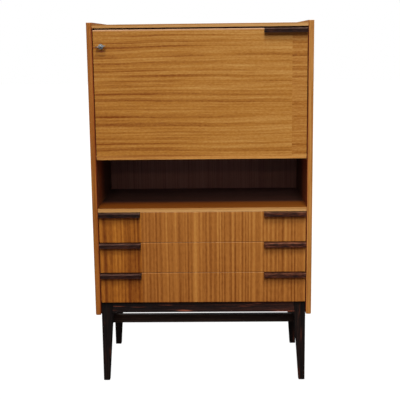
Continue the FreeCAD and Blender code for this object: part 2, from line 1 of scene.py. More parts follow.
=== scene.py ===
import math
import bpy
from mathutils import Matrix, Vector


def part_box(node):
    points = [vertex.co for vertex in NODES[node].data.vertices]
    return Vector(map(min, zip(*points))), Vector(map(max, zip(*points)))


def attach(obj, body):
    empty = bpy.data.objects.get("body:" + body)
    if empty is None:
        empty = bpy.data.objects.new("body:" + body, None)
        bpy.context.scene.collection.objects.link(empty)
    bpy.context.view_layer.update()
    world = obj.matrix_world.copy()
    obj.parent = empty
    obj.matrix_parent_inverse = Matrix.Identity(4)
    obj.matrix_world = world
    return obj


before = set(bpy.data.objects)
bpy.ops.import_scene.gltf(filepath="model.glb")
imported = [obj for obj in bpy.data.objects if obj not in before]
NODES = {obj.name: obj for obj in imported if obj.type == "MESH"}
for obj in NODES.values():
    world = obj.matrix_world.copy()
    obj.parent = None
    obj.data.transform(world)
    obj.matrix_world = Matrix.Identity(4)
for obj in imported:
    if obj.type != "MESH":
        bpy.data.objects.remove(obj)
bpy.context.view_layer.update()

from types import SimpleNamespace

import bmesh
import bpy
from mathutils import Matrix, Vector

AXES = {"X": 0, "Y": 1, "Z": 2}
SIDES = ("left", "right")
DRAWER_NUMBERS = (1, 2, 3)
UP = Vector((0, 0, 1))
WHITE = (1.0, 1.0, 1.0, 1.0)
MIDDLE = 0.5
NO_SHIFT = (0.0, 0.0, 0.0)

# Places read from the frame, in metres
FLAP_LOW, FLAP_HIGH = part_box("flap_panel")
FRONT_Y = FLAP_LOW.y
LOCK_LOW, LOCK_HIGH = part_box("lock_escutcheon")
LOCK = (LOCK_LOW + LOCK_HIGH) / 2
INNER_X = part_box("right_side_panel")[0].x
TOP_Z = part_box("top_panel")[1].z

# The photograph's camera: focal length in image widths, place in metres, angles in degrees
FOCAL_SHARE = 2.1815
CAMERA_PLACE = Vector((0.0527, FRONT_Y - 2.8021, 1.1429))
CAMERA_TILT = 10.453
CAMERA_ROLL = 0.694
CAMERA_YAW = -1.202
SENSOR_WIDTH = 36

# Veneer joints: leaves of the drawers' and the flap's veneer meet at these places along X
DRAWER_SEAMS = (-0.201, 0.195)
FLAP_SEAMS = (0.292,)
DRAWER_LEAF_SHIFT = (1.37, 2.11, 3.73)
FLAP_LEAF_SHIFT = (0.31, 0.0, 0.005)

# Where in its pattern each wood begins, in metres
FLAP_SHIFT = (0.0, 0.0, 0.053)
FLAP_HANDLE_SHIFT = (2.3, 1.1, 0.4)
DRAWER_BACK_SHIFT = (0.4, 0.7, 0.2)
DIVIDER_SHIFT = (0.5, 0.5, 0.0)
RAIL_SHIFT = (0.9, 0.2, 0.5)
STRETCHER_SHIFT = (0.4, 0.1, 0.8)
HANDLE_STEPS = (0.31, 0.17, 0.23)
SIDE_STEPS = (0.6, 0.3, 0.9)

# Wood: noise levels between which a feature fades in, rates per metre and places on colour ramps
SLANT_CENTRE = (0.0, 0.0, 0.75)
MEAN_SHADE = 0.55
TONE_STOPS = (0.1, 0.5, 0.9)
ZONE_STOPS = (0.2, 0.5, 0.8)
LINE_FADE = (0.1, 0.6)
STRIPE_DRIFT_RATE = (0.5, 22)
STRIPE_FADE_RATE = (1.5, 45)
STRIPE_FADE = (0.2, 0.7)
PORE_FADE = (0.58, 0.72)
FLECK_FADE = (0.56, 0.74)
FLECK_STREAK_FADE = (0.4, 0.62)
WEAR_AND_HIGHLIGHT_FADE = (0.35, 0.65)
STREAK_RELIEF = 0.5

# Faces and edges: where a mask starts and where it is full, and how many samples edges take
FACING_FADE = (0.6, 0.9)
EDGE_FADE = (0.01, 0.2)
EDGE_SAMPLES = 4

# Strips and depths, in metres from an edge or the front: where each starts and where it is full
LIP_DEPTH = 0.004
FLAP_TOP_HIGHLIGHT = (0.006, 0.002)
FLAP_FOOT = (0.018, 0.008)
DRAWER_TOP_HIGHLIGHT = (0.0018, 0.001)
TOP_HIGHLIGHT_SLACK = 0.0005
CORNER_WIDTH = (0.0025, 0.00125)
CORNER_DEPTH = (0.02, 0.012)
TOP_HIGHLIGHT_REACH = (0.006, 0.011)
INNER_HALF_WIDTH = (0.011, 0.007)
WHOLE_DEPTH = (-0.02, -0.01)
FAR_DEPTH = (0.08, 0.22)

# Hardboard and the painted shadows of the key's bow: noise rates per metre, strengths and fades
FELT_RATES = (900, 900, 900)
FELT = 0.9
CLOUD_RATES = (6, 6, 6)
CLOUD = 0.8
HARDBOARD_STOPS = (0.2, 0.8)
KEY_SHADOW_RATES = (90, 90, 260)
KEY_SHADOW_SWING = 1.2
KEY_SHADOW_FADE = (1.3, 0.2)

# Metal: noise rates per metre, strengths, places on the colour ramp and sizes in metres
PATCH_RATES = (240, 240, 240)
PATCH = 1.3
PATCH_ROUGHNESS = 0.25
SCRATCH_RATES = (900, 5200, 900)
SCRATCH = 0.5
SCRATCH_ROUGHNESS = 0.2
SCRATCH_DEPTH = 0.00003
METAL_STOPS = (0.15, 0.85)
METAL_EDGE_RADIUS = 0.0006
METAL_EDGE = 0.5

# Screw heads: shares of the radius or the rise, turns in radians
ARC_STEPS = 10
SLOT_SHARE = 0.2
RISE_SHARE = 0.3
FLOOR_SHARE = 0.98
FLOOR_LEVEL = 0.1
CHAMFER_LEVEL = 0.5
CROWN_SHARE = 0.82
CROWN_SLOT_SHARE = 1.2
FIRST_TURN = 0.7
TURN_STEP = 1.9

# Screw places: insets and radii in metres, and counts
BACK_RIM = 0.0045
BACK_END = 0.03
BACK_ROWS = 7
BOARD_REACH = 0.24
BOARD_COUNT = 4
BACK_RADIUS = 0.003
CASE_INSET = 0.004
STRIKE_INSET = 0.0045
LOCK_RADIUS = 0.0022
BRACKET_THICK = 0.002
BRACKET_INSET = 0.006
BRACKET_LIFT = 0.0055
BRACKET_RADIUS = 0.0025

# Floor and world
FLOOR_SPAN = 40.0
FLOOR_SEGMENTS = 8
FLOOR_RATES = (30, 30, 30)
FLOOR_ROUGHNESS = 0.8
FLOOR_BUMP = 0.0001
FLOOR_GLOW = 0.95
CEILING_FADE = (-0.1, 0.5)
ROOM_STRENGTH = 0.19


def tone(red, green, blue):
    """A colour given in display levels from 0 to 255, as the linear values that shaders take."""
    def linear(level):
        share = level / 255
        return share / 12.92 if share <= 0.04045 else ((share + 0.055) / 1.055) ** 2.4
    return (linear(red), linear(green), linear(blue), 1.0)


class Graph:
    """A node tree, built by short calls that take and return sockets or plain values."""

    def __init__(self, tree):
        self.tree = tree
        tree.nodes.clear()

    def add(self, kind, **settings):
        """A new node with these settings."""
        node = self.tree.nodes.new(kind)
        for key, value in settings.items():
            setattr(node, key, value)
        return node

    def feed(self, socket, value):
        """Link an input to a socket, or set it to a plain value."""
        if isinstance(value, bpy.types.NodeSocket):
            self.tree.links.new(value, socket)
        else:
            socket.default_value = value

    def feed_all(self, node, values):
        for socket, value in zip(node.inputs, values):
            self.feed(socket, value)

    def math(self, operation, *values):
        node = self.add("ShaderNodeMath", operation=operation)
        self.feed_all(node, values)
        return node.outputs[0]

    def total(self, first, *others):
        for value in others:
            first = self.math("ADD", first, value)
        return first

    def times(self, first, *others):
        for value in others:
            first = self.math("MULTIPLY", first, value)
        return first

    def vector(self, operation, *values):
        node = self.add("ShaderNodeVectorMath", operation=operation)
        self.feed_all(node, values)
        return node.outputs["Value" if operation == "DOT_PRODUCT" else "Vector"]

    def split(self, vector):
        node = self.add("ShaderNodeSeparateXYZ")
        self.feed(node.inputs[0], vector)
        return list(node.outputs)

    def coordinates(self, output):
        return self.add("ShaderNodeTexCoord").outputs[output]

    def along(self, axis):
        """The place along an axis of the frame, in metres."""
        return self.split(self.coordinates("Object"))[AXES[axis]]

    def noise(self, vector, detail=2.0, roughness=0.5, output="Fac"):
        node = self.add("ShaderNodeTexNoise")
        self.feed(node.inputs["Vector"], vector)
        node.inputs["Scale"].default_value = 1.0
        node.inputs["Detail"].default_value = detail
        node.inputs["Roughness"].default_value = roughness
        return node.outputs[output]

    def grit(self, rates, detail):
        """Noise over the whole piece, at rates per metre along X, Y and Z."""
        return self.noise(self.vector("MULTIPLY", self.coordinates("Object"), rates), detail)

    def swing(self, value, amount):
        """A value about one half, turned into one about zero and scaled."""
        return self.times(self.math("SUBTRACT", value, MIDDLE), amount)

    def band(self, value, low, high):
        """Zero at low, one at high, smooth between and level outside."""
        node = self.add("ShaderNodeMapRange", interpolation_type="SMOOTHSTEP")
        self.feed(node.inputs["Value"], value)
        node.inputs["From Min"].default_value = low
        node.inputs["From Max"].default_value = high
        return node.outputs["Result"]

    def ramp(self, factor, positions, colours):
        """A colour that runs through the given ones, each at its own position."""
        node = self.add("ShaderNodeValToRGB")
        elements = node.color_ramp.elements
        while len(elements) < len(positions):
            elements.new(1.0)
        for element, position, colour in zip(elements, positions, colours):
            element.position = position
            element.color = colour
        self.feed(node.inputs["Fac"], factor)
        return node.outputs["Color"]

    def mix(self, factor, first, second):
        """The first colour where the factor is zero, the second where it is one."""
        node = self.add("ShaderNodeMix", data_type="RGBA")
        inputs = {socket.identifier: socket for socket in node.inputs}
        self.feed(inputs["Factor_Float"], factor)
        self.feed(inputs["A_Color"], first)
        self.feed(inputs["B_Color"], second)
        return next(socket for socket in node.outputs if socket.identifier == "Result_Color")

    def facing(self, axis, sign):
        """One on faces that look along an axis of the piece, zero on the others."""
        part = self.split(self.coordinates("Normal"))[AXES[axis]]
        return self.band(self.times(part, sign), *FACING_FADE)

    def edges(self, radius):
        """One on the piece's edges, zero on its faces."""
        bevel = self.add("ShaderNodeBevel", samples=EDGE_SAMPLES)
        bevel.inputs["Radius"].default_value = radius
        normal = self.add("ShaderNodeNewGeometry").outputs["Normal"]
        likeness = self.vector("DOT_PRODUCT", bevel.outputs["Normal"], normal)
        return self.band(self.math("SUBTRACT", 1.0, likeness), *EDGE_FADE)

    def background(self, colour, strength):
        node = self.add("ShaderNodeBackground")
        self.feed(node.inputs["Color"], colour)
        node.inputs["Strength"].default_value = strength
        return node.outputs[0]

    def blend(self, factor, first, second):
        """The first shader where the factor is zero, the second where it is one."""
        node = self.add("ShaderNodeMixShader")
        self.feed_all(node, (factor, first, second))
        return node.outputs[0]

    def surface(self, colour, roughness, height, depth, constants):
        """A principled surface with a bump of the given depth in metres."""
        shader = self.add("ShaderNodeBsdfPrincipled")
        self.feed(shader.inputs["Base Color"], colour)
        self.feed(shader.inputs["Roughness"], roughness)
        for name, value in constants.items():
            shader.inputs[name].default_value = value
        bump = self.add("ShaderNodeBump")
        bump.inputs["Distance"].default_value = depth
        self.feed(bump.inputs["Height"], height)
        self.feed(shader.inputs["Normal"], bump.outputs["Normal"])
        output = self.add("ShaderNodeOutputMaterial")
        self.feed(output.inputs["Surface"], shader.outputs["BSDF"])


def new_material(name):
    """An empty material and the graph that fills it."""
    material = bpy.data.materials.new(name)
    material.use_nodes = True
    return material, Graph(material.node_tree)


def link(name, data):
    """A new object in the scene."""
    piece = bpy.data.objects.new(name, data)
    bpy.context.scene.collection.objects.link(piece)
    return piece


# Wood

def look(dark, mid, light, **changes):
    """What a wood looks like: its three tones, rates per metre along and across the grain, strengths.

    Calm is where along X the growth lines start to weaken, where that ends, and by what share.
    Slant is how much lighter the wood gets per metre along X, Y and Z.
    """
    values = dict(
        wave_rate=(1.3, 6), wave=0.008,
        line_rate=42, line=0.3, line_start=0.35, line_end=0.92, line_chance=-0.7,
        fine_rate=125, fine=0.14, drift_rate=(0.6, 15), drift=1.5, fade_rate=(2.4, 40),
        calm=None, slant=(0.0, 0.0, 0.0),
        ribbon_rate=(1.0, 60), ribbon=0.25, stripe_rate=75, stripe=0.0, stripe_drift=3.0,
        streak_rate=(5, 260), streak=0.35,
        blotch_rate=(3, 6), blotch=0.16, mottle_rate=(28, 120), mottle=0.0,
        pore_rate=(55, 1500), pore=0.1,
        fleck_rate=(12, 70), fleck=0.0, fleck_tone=light,
        roughness=0.42, roughness_swing=0.16, bump=0.00012,
        # Edges are lightened partly as wear and partly as painted highlight.
        wear=0.25, wear_tone=light, wear_radius=0.002,
        constants={"Specular IOR Level": 0.14},
    )
    values.update(changes)
    return SimpleNamespace(tones=(dark, mid, light), **values)


def leaves(g, spot, seams, step_sizes):
    """Coordinates that jump from one leaf of veneer to the next."""
    place = spot
    for seam in seams:
        past = g.math("GREATER_THAN", g.split(spot)[AXES["X"]], seam)
        shift = g.add("ShaderNodeCombineXYZ")
        g.feed_all(shift, [g.times(past, step) for step in step_sizes])
        place = g.vector("ADD", place, shift.outputs[0])
    return place


def fibrous(g, place, grain, rates, **settings):
    """Noise that runs at one rate along the grain and at another across it."""
    scale = [rates[1]] * 3
    scale[AXES[grain]] = rates[0]
    return g.noise(g.vector("MULTIPLY", place, scale), **settings)


def across_grain(g, fibre, grain):
    """A coordinate that grows across the grain and stays the same along it."""
    first, second = (part for axis, part in zip(AXES, g.split(fibre)) if axis != grain)
    return g.total(first, second)


def growth_lines(g, fibre, grain, style, rate):
    """Dark lines at uneven steps, sharp on one side and soft on the other, that come and go."""
    drift = fibrous(g, fibre, grain, style.drift_rate, detail=1.0)
    offset = g.swing(drift, style.drift / style.line_rate)
    phase = g.times(g.math("SUBTRACT", offset, across_grain(g, fibre, grain)), rate)
    part = g.math("FRACT", phase)
    profile = g.times(
        g.band(part, style.line_start, style.line_end), g.band(part, 1.0, style.line_end),
    )
    chance = g.add("ShaderNodeTexWhiteNoise", noise_dimensions="1D")
    g.feed(chance.inputs["W"], g.math("FLOOR", phase))
    fade = g.band(fibrous(g, fibre, grain, style.fade_rate, detail=1.0), *LINE_FADE)
    strength = g.times(g.band(chance.outputs["Value"], style.line_chance, 1.0), fade)
    return g.times(profile, strength)


def stripes(g, fibre, grain, style):
    """Soft light and dark stripes along the grain, at uneven steps and of uneven strength."""
    drift = fibrous(g, fibre, grain, STRIPE_DRIFT_RATE, detail=1.0)
    across = g.times(across_grain(g, fibre, grain), style.stripe_rate)
    phase = g.total(across, g.swing(drift, style.stripe_drift))
    wave = g.math("SINE", g.times(phase, 2 * math.pi))
    strength = g.band(fibrous(g, fibre, grain, STRIPE_FADE_RATE, detail=1.0), *STRIPE_FADE)
    return g.times(wave, strength)


def wood(name, grain, style, seams=(), leaf_shift=NO_SHIFT, shift=NO_SHIFT, zones=(), finish=None):
    """A veneer or solid wood: growth lines, ribbons, streaks, blotches, pores, and edges lightened
    partly by wear and partly by painted highlight.

    Each zone is a mask and the three tones that the wood has where the mask is one.
    """
    material, g = new_material(name)
    place = g.vector("ADD", leaves(g, g.coordinates("Object"), seams, leaf_shift), shift)
    sway = fibrous(g, place, grain, style.wave_rate, output="Color")
    sway = g.vector("SUBTRACT", sway, (MIDDLE,) * 3)
    fibre = g.vector("ADD", place, g.vector("MULTIPLY", sway, (style.wave,) * 3))
    ribbon = fibrous(g, fibre, grain, style.ribbon_rate, detail=1.5)
    streak = fibrous(g, fibre, grain, style.streak_rate, detail=3.0, roughness=0.6)
    blotch = fibrous(g, place, grain, style.blotch_rate, detail=3.0)
    mottle = fibrous(g, place, grain, style.mottle_rate)
    pores = g.band(fibrous(g, fibre, grain, style.pore_rate, detail=0.0), *PORE_FADE)
    lines = growth_lines(g, fibre, grain, style, style.line_rate)
    fine_lines = growth_lines(g, fibre, grain, style, style.fine_rate)
    if style.calm:
        start, end, loss = style.calm
        kept = g.math("SUBTRACT", 1.0, g.times(g.band(g.along("X"), start, end), loss))
        lines = g.times(lines, kept)
        fine_lines = g.times(fine_lines, kept)
    from_centre = g.vector("SUBTRACT", g.coordinates("Object"), SLANT_CENTRE)
    shade = g.total(
        g.swing(ribbon, style.ribbon), g.swing(streak, style.streak),
        g.swing(blotch, style.blotch), g.swing(mottle, style.mottle),
        g.times(stripes(g, fibre, grain, style), style.stripe),
        g.times(lines, -style.line), g.times(fine_lines, -style.fine), g.times(pores, -style.pore),
        g.vector("DOT_PRODUCT", from_centre, style.slant), MEAN_SHADE,
    )
    colour = g.ramp(shade, TONE_STOPS, style.tones)
    for mask, *tones in zones:
        colour = g.mix(mask(g), colour, g.ramp(shade, ZONE_STOPS, tones))
    if style.fleck:
        fleck = g.band(fibrous(g, fibre, grain, style.fleck_rate), *FLECK_FADE)
        spots = g.times(fleck, g.band(streak, *FLECK_STREAK_FADE))
        colour = g.mix(g.times(spots, style.fleck), colour, style.fleck_tone)
    if finish:
        colour = finish(g, colour)
    # Lighter edges: partly wear, partly a painted highlight where rounded edges catch the light.
    worn_and_lit = g.times(g.edges(style.wear_radius), g.band(blotch, *WEAR_AND_HIGHLIGHT_FADE))
    colour = g.mix(g.times(worn_and_lit, style.wear), colour, style.wear_tone)
    roughness = g.total(g.swing(streak, style.roughness_swing), style.roughness)
    height = g.math("SUBTRACT", g.times(streak, STREAK_RELIEF), pores)
    g.surface(colour, roughness, height, style.bump, style.constants)
    return material


# Masks, which say where on a piece a tone lies

def first_leaf(g):
    """The drawers' veneer left of its first seam."""
    return g.math("LESS_THAN", g.along("X"), DRAWER_SEAMS[0])


def last_leaf(g):
    """The flap's veneer right of its seam."""
    return g.math("GREATER_THAN", g.along("X"), FLAP_SEAMS[0])


def front_edge(g):
    """The front edge of a board."""
    return g.times(g.facing("Y", -1), g.math("LESS_THAN", g.along("Y"), FRONT_Y + LIP_DEPTH))


def shoulder(g):
    """The step behind a board's front edge that the flap shuts against."""
    return g.times(g.facing("Y", -1), g.math("GREATER_THAN", g.along("Y"), FRONT_Y + LIP_DEPTH))


def flap_top_highlight(g):
    """A paler strip along the flap's top edge: a painted highlight where the rounded edge catches the
    light.
    """
    start, full = FLAP_TOP_HIGHLIGHT
    return g.band(g.along("Z"), FLAP_HIGH.z - start, FLAP_HIGH.z - full)


def flap_foot(g):
    """A paler strip along the flap's bottom edge."""
    start, full = FLAP_FOOT
    return g.band(g.along("Z"), FLAP_LOW.z + start, FLAP_LOW.z + full)


def drawer_top_highlights(g):
    """Paler strips along the drawer fronts' top edges: a painted highlight of the light lines in the
    gaps between drawers.
    """
    z = g.along("Z")
    start, full = DRAWER_TOP_HIGHLIGHT
    strips = []
    for number in DRAWER_NUMBERS:
        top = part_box(f"drawer_{number}_front")[1].z
        near = g.band(z, top - start, top - full)
        strips.append(g.times(near, g.math("LESS_THAN", z, top + TOP_HIGHLIGHT_SLACK)))
    return g.total(*strips)


def above_desk(g):
    """What lies above the desk floor."""
    return g.math("GREATER_THAN", g.along("Z"), FLAP_LOW.z)


def underside(g):
    """The lower face of a board."""
    return g.facing("Z", -1)


def deeper(near, far):
    """Starts at one depth behind the front, is full at another and stays so beyond it."""
    def mask(g):
        return g.band(g.along("Y"), FRONT_Y + near, FRONT_Y + far)
    return mask


def inner_face(sign, near, far):
    """The inner face of a side below the top, from some depth on."""
    def mask(g):
        below = g.math("LESS_THAN", g.along("Z"), TOP_Z)
        return g.times(g.facing("X", sign), below, deeper(near, far)(g))
    return mask


def beside_opening(g, start, full):
    """A strip of a side along the opening that starts at one width and is full at another."""
    return g.band(g.math("ABSOLUTE", g.along("X")), INNER_X + start, INNER_X + full)


def inner_corner(g):
    """A strip along the inner corner of a side's front edge, where painted shade darkens what shows
    of the gap behind it.
    """
    start, full = CORNER_DEPTH
    front = g.band(g.along("Y"), FRONT_Y + start, FRONT_Y + full)
    below = g.math("LESS_THAN", g.along("Z"), TOP_Z)
    return g.times(beside_opening(g, *CORNER_WIDTH), front, below)


def inner_half(g):
    """The half of a side's front edge that lies next to the flap and drawers."""
    return g.times(beside_opening(g, *INNER_HALF_WIDTH), g.facing("Y", -1))


def handle_top_highlight(g):
    """The front part of a handle's top, painted lighter: a painted highlight where the top catches
    the light.
    """
    start, full = TOP_HIGHLIGHT_REACH
    return g.times(g.facing("Z", 1), g.band(g.along("Y"), FRONT_Y - start, FRONT_Y - full))


# Finishes, which change a wood's colour in places

def hardboard(dark, light):
    """Plain hardboard on the rear face of the back panel."""
    def finish(g, colour):
        felt = g.grit(FELT_RATES, detail=3.0)
        cloud = g.grit(CLOUD_RATES, detail=3.0)
        shade = g.total(g.swing(felt, FELT), g.swing(cloud, CLOUD), MIDDLE)
        return g.mix(g.facing("Y", 1), colour, g.ramp(shade, HARDBOARD_STOPS, (dark, light)))
    return finish


def painted_key_shadows(bars):
    """Painted shadows of the key's bow: dark bars on the veneer below the lock."""
    def finish(g, colour):
        x = g.along("X")
        z = g.along("Z")
        rough = g.swing(g.grit(KEY_SHADOW_RATES, detail=2.0), KEY_SHADOW_SWING)
        for drop, half_width, half_height, strength, dark in bars:
            across = g.math("DIVIDE", g.math("SUBTRACT", x, LOCK.x), half_width)
            down = g.math("DIVIDE", g.math("SUBTRACT", z, LOCK.z - drop), half_height)
            squares = g.total(g.times(across, across), g.times(down, down))
            near = g.band(g.total(g.math("SQRT", squares), rough), *KEY_SHADOW_FADE)
            colour = g.mix(g.times(near, strength), colour, dark)
        return colour
    return finish


# Looks: tones from dark to light, and what sets each wood apart

# Painted shadows of the key's bow below the lock: drop, half width and half height in metres,
# strength and tone
KEY_SHADOW_BARS = [
    (0.0155, 0.016, 0.004, 0.85, tone(92, 30, 12)),
    (0.0285, 0.017, 0.004, 0.65, tone(110, 62, 20)),
]
# Slant along Z lightens the flap towards its top: painted light.
FLAP_LOOK = look(
    tone(114, 55, 6), tone(164, 111, 43), tone(197, 153, 85),
    wave_rate=(2.2, 7), wave=0.013, drift=2.6,
    line_rate=46, line=0.3, line_start=0.3, line_end=0.8, line_chance=-0.3,
    fine_rate=118, fine=0.19, fade_rate=(4.5, 40), calm=(-0.15, 0.15, 0.4),
    slant=(0.15, 0.0, 0.12), streak=0.5, mottle_rate=(110, 240), mottle=0.35,
    wear=0.4, wear_tone=tone(226, 178, 130),
)
# The strip along the flap's top edge is a painted highlight.
FLAP_ZONES = [
    (last_leaf, tone(98, 44, 3), tone(156, 101, 37), tone(188, 140, 72)),
    (flap_top_highlight, tone(176, 128, 88), tone(198, 154, 114), tone(216, 176, 138)),
    (flap_foot, tone(154, 100, 41), tone(184, 131, 64), tone(206, 158, 90)),
]
# Slant along Z darkens the lower drawers: painted shade where the light falls off.
DRAWER_LOOK = look(
    tone(108, 55, 15), tone(158, 101, 42), tone(193, 140, 69),
    wave_rate=(3.0, 4.0), wave=0.004, line_rate=55, line=0.06, fine=0.06, slant=(0.05, 0.0, 0.3),
    ribbon_rate=(1.2, 60), ribbon=0.46, stripe=0.16, streak_rate=(4, 230), streak=0.2,
    blotch_rate=(3, 5), blotch=0.2, mottle_rate=(60, 130), mottle=0.25,
)
# The strips along the drawer fronts' top edges are a painted highlight.
DRAWER_ZONES = [
    (first_leaf, tone(104, 51, 12), tone(152, 92, 29), tone(190, 128, 48)),
    (drawer_top_highlights, tone(146, 92, 46), tone(178, 122, 63), tone(202, 152, 92)),
]
LIPPING_ZONE = (front_edge, tone(158, 110, 54), tone(183, 137, 80), tone(204, 162, 104))
TOP_LOOK = look(
    tone(98, 48, 12), tone(156, 100, 43), tone(192, 142, 76), slant=(0.3, 0.0, 0.0),
)
# The underside and the shoulder take dark tones: painted shade under the top panel and in the gap
# above the flap.
TOP_ZONES = [
    LIPPING_ZONE,
    (underside, tone(40, 14, 8), tone(66, 26, 16), tone(90, 42, 26)),
    (shoulder, tone(56, 20, 18), tone(80, 32, 28), tone(104, 46, 40)),
]
SHELF_LOOK = look(
    tone(84, 38, 6), tone(128, 68, 16), tone(164, 104, 38), slant=(0.3, 0.0, 0.0),
)
# Painted shade on the shelf: darker from its front to about 0.12 m back, where the desk floor above
# shades it, then greyer further back. The lipping is the wood's own.
SHELF_ZONES = [
    (deeper(0.0, 0.12), tone(70, 30, 8), tone(106, 54, 16), tone(140, 82, 30)),
    (deeper(0.095, 0.125), tone(36, 21, 17), tone(62, 39, 32), tone(92, 60, 48)),
    (deeper(0.2, 0.36), tone(52, 37, 36), tone(82, 59, 57), tone(110, 84, 80)),
    LIPPING_ZONE,
]
SIDE_GRAIN = dict(line_rate=90, line=0.25, streak=0.8)
# Slant along Z darkens each side towards the bottom: painted shade where the light falls off.
SIDE_LOOKS = {
    "left": look(
        tone(96, 44, 9), tone(149, 92, 37), tone(184, 132, 66),
        slant=(0.0, 0.0, 0.15), **SIDE_GRAIN,
    ),
    "right": look(
        tone(118, 64, 17), tone(172, 119, 56), tone(202, 154, 88),
        slant=(0.0, 0.0, 0.2), **SIDE_GRAIN,
    ),
}
INNER_HALF_TONES = (tone(98, 46, 10), tone(147, 87, 32), tone(176, 119, 54))
# Painted light and shade on the sides' inner faces: a red-brown glow of light bounced off the lit
# shelf, dark shade further back, and a dark red strip for the shade in the gap beside the flap and
# drawers.
INNER_GLOW_TONES = (tone(120, 63, 34), tone(163, 94, 54), tone(192, 120, 74))
DEEP_SHADE_TONES = (tone(50, 28, 19), tone(84, 54, 38), tone(112, 76, 54))
CORNER_SHADE_TONES = (tone(84, 31, 15), tone(128, 54, 27), tone(156, 80, 45))
# Below the desk floor the back panel takes greyer, darkened tones: painted shade in the niche.
NICHE_SHADE_LOOK = look(
    tone(99, 72, 66), tone(146, 114, 104), tone(170, 140, 127),
    line_rate=60, line=0.1, ribbon=0.45,
)
HARDBOARD_TONES = (tone(96, 66, 42), tone(140, 104, 70))
DESK_TONES = (tone(106, 58, 22), tone(156, 98, 46), tone(190, 138, 76))
DESK_LOOK = look(*DESK_TONES, line_rate=60, line=0.1, ribbon=0.3)
WENGE_GRAIN = dict(
    line_rate=160, line=0.2, streak_rate=(9, 700), streak=0.9, blotch=0.4, pore=0.2,
    roughness=0.46, bump=0.00025, wear=0.3, wear_tone=tone(60, 42, 34),
)
WENGE_LOOK = look(
    tone(6, 5, 5), tone(17, 12, 11), tone(54, 34, 26),
    fleck=0.6, fleck_tone=tone(96, 48, 30), **WENGE_GRAIN,
)
RAIL_LOOK = look(
    tone(8, 5, 5), tone(30, 17, 14), tone(86, 46, 34), slant=(0.6, 0.0, 0.0),
    fleck_rate=(9, 130), fleck=1.0, fleck_tone=tone(150, 80, 56), **WENGE_GRAIN,
)
STRETCHER_LOOK = look(tone(30, 26, 23), tone(58, 49, 42), tone(102, 82, 66), **WENGE_GRAIN)
HANDLE_GRAIN = dict(
    line_rate=200, line=0.2, streak_rate=(12, 800), streak=1.0, blotch=0.5, pore=0.2,
    mottle_rate=(45, 200), mottle=1.3, roughness=0.36, bump=0.0003, wear=0.3,
    constants={"Specular IOR Level": 0.12},
)
HANDLE_LOOKS = {
    "left": look(
        tone(9, 5, 5), tone(31, 15, 11), tone(66, 36, 25),
        wear_tone=tone(120, 100, 94), **HANDLE_GRAIN,
    ),
    "right": look(
        tone(16, 9, 9), tone(64, 33, 23), tone(126, 72, 48),
        wear_tone=tone(126, 94, 80), **HANDLE_GRAIN,
    ),
}
# Painted highlight on the front part of each handle's top.
HANDLE_ZONES = {
    "left": [(handle_top_highlight, tone(30, 19, 16), tone(67, 46, 39), tone(100, 75, 66))],
    "right": [(handle_top_highlight, tone(30, 17, 14), tone(88, 54, 42), tone(140, 92, 68))],
}
BEECH_LOOK = look(
    tone(150, 104, 66), tone(196, 152, 106), tone(220, 182, 138),
    line=0.12, streak=0.3, pore_rate=(160, 700), pore=0.16, roughness=0.6,
)
PLY_LOOK = look(
    tone(140, 98, 58), tone(188, 146, 98), tone(214, 176, 130), ribbon=0.5, roughness=0.65,
)


# Dressing the CAD nodes

def dress(material, *names):
    """Give CAD nodes a material through their own material slots."""
    for name in names:
        piece = NODES[name]
        if not piece.material_slots:
            piece.data.materials.append(material)
        for slot in piece.material_slots:
            slot.material = material


def dress_flap():
    """The flap's veneer and its handle."""
    # The flap's veneer carries painted shadows of the key's bow below the lock.
    veneer = wood(
        "flap_veneer", "X", FLAP_LOOK, FLAP_SEAMS, FLAP_LEAF_SHIFT, FLAP_SHIFT, FLAP_ZONES,
        painted_key_shadows(KEY_SHADOW_BARS),
    )
    dress(veneer, "flap_panel")
    handle = wood(
        "flap_handle_wenge", "X", HANDLE_LOOKS["left"], shift=FLAP_HANDLE_SHIFT,
        zones=HANDLE_ZONES["left"],
    )
    dress(handle, "flap_handle")


def dress_drawers():
    """The drawers' fronts, boxes, handles and runners."""
    veneer = wood(
        "drawer_veneer", "Z", DRAWER_LOOK, DRAWER_SEAMS, DRAWER_LEAF_SHIFT, zones=DRAWER_ZONES,
    )
    beech_sides = wood("beech_sides", "Y", BEECH_LOOK)
    beech_backs = wood("beech_backs", "X", BEECH_LOOK, shift=DRAWER_BACK_SHIFT)
    ply = wood("drawer_ply", "X", PLY_LOOK)
    dress(beech_sides, "left_drawer_runners", "right_drawer_runners")
    for number in DRAWER_NUMBERS:
        drawer = f"drawer_{number}"
        dress(veneer, f"{drawer}_front")
        dress(beech_sides, f"{drawer}_left_side", f"{drawer}_right_side")
        dress(beech_backs, f"{drawer}_back")
        dress(ply, f"{drawer}_bottom")
        for index, side in enumerate(SIDES):
            shift = tuple(s * n for s, n in zip(HANDLE_STEPS, (number, index, number)))
            handle = wood(
                f"{drawer}_{side}_wenge", "X", HANDLE_LOOKS[side], shift=shift,
                zones=HANDLE_ZONES[side],
            )
            dress(handle, f"{drawer}_{side}_handle")


